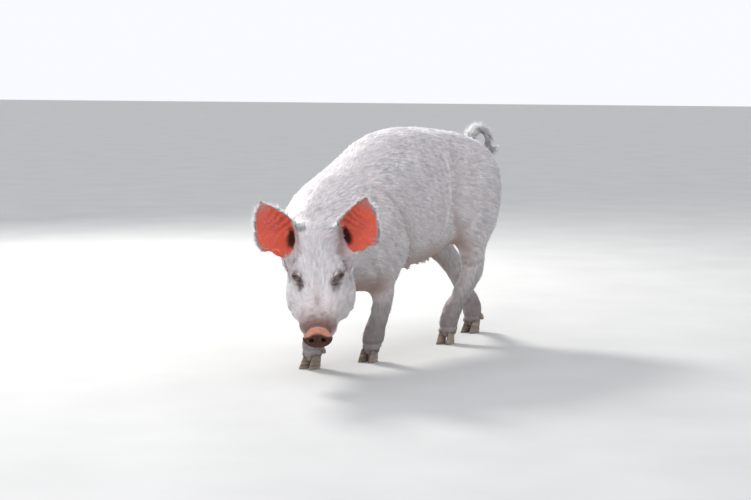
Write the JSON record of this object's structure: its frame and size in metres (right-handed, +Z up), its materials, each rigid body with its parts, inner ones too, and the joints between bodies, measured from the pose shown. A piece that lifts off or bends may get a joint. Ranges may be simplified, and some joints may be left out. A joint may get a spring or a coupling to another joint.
{
  "type": "domestic pig",
  "caption": "Life-size still model of a young white pig walking with its head lowered and turned to its left.",
  "frame": {"origin": "on the floor under the middle of the whole model's bounding box", "axes": "+Z up, -Y the way the pig walks, +X to the pig's left"},
  "size_m": [0.3676, 1.1478, 0.644],
  "materials": {
    "coat": "skin under short white bristles",
    "ear": "thin pink skin with white hair at its rim",
    "snout": "bare moist skin",
    "eye": "wet and glossy",
    "claw": "dull worn horn"
  },
  "bodies": {
    "root": {"claw_front_left_lateral": "claw", "claw_front_left_medial": "claw", "claw_front_right_lateral": "claw", "claw_front_right_medial": "claw", "claw_hind_left_lateral": "claw", "claw_hind_left_medial": "claw", "claw_hind_right_lateral": "claw", "claw_hind_right_medial": "claw", "dewclaw_front_left_lateral": "claw", "dewclaw_front_left_medial": "claw", "dewclaw_front_right_lateral": "claw", "dewclaw_front_right_medial": "claw", "dewclaw_hind_left_lateral": "claw", "dewclaw_hind_left_medial": "claw", "dewclaw_hind_right_lateral": "claw", "dewclaw_hind_right_medial": "claw", "ear_left": "ear", "ear_right": "ear", "eye_left": "eye", "eye_right": "eye", "head": "coat", "leg_front_left": "coat", "leg_front_right": "coat", "leg_hind_left": "coat", "leg_hind_right": "coat", "neck": "coat", "snout": "snout", "tail": "coat", "trunk": "coat"}
  },
  "joints": []
}
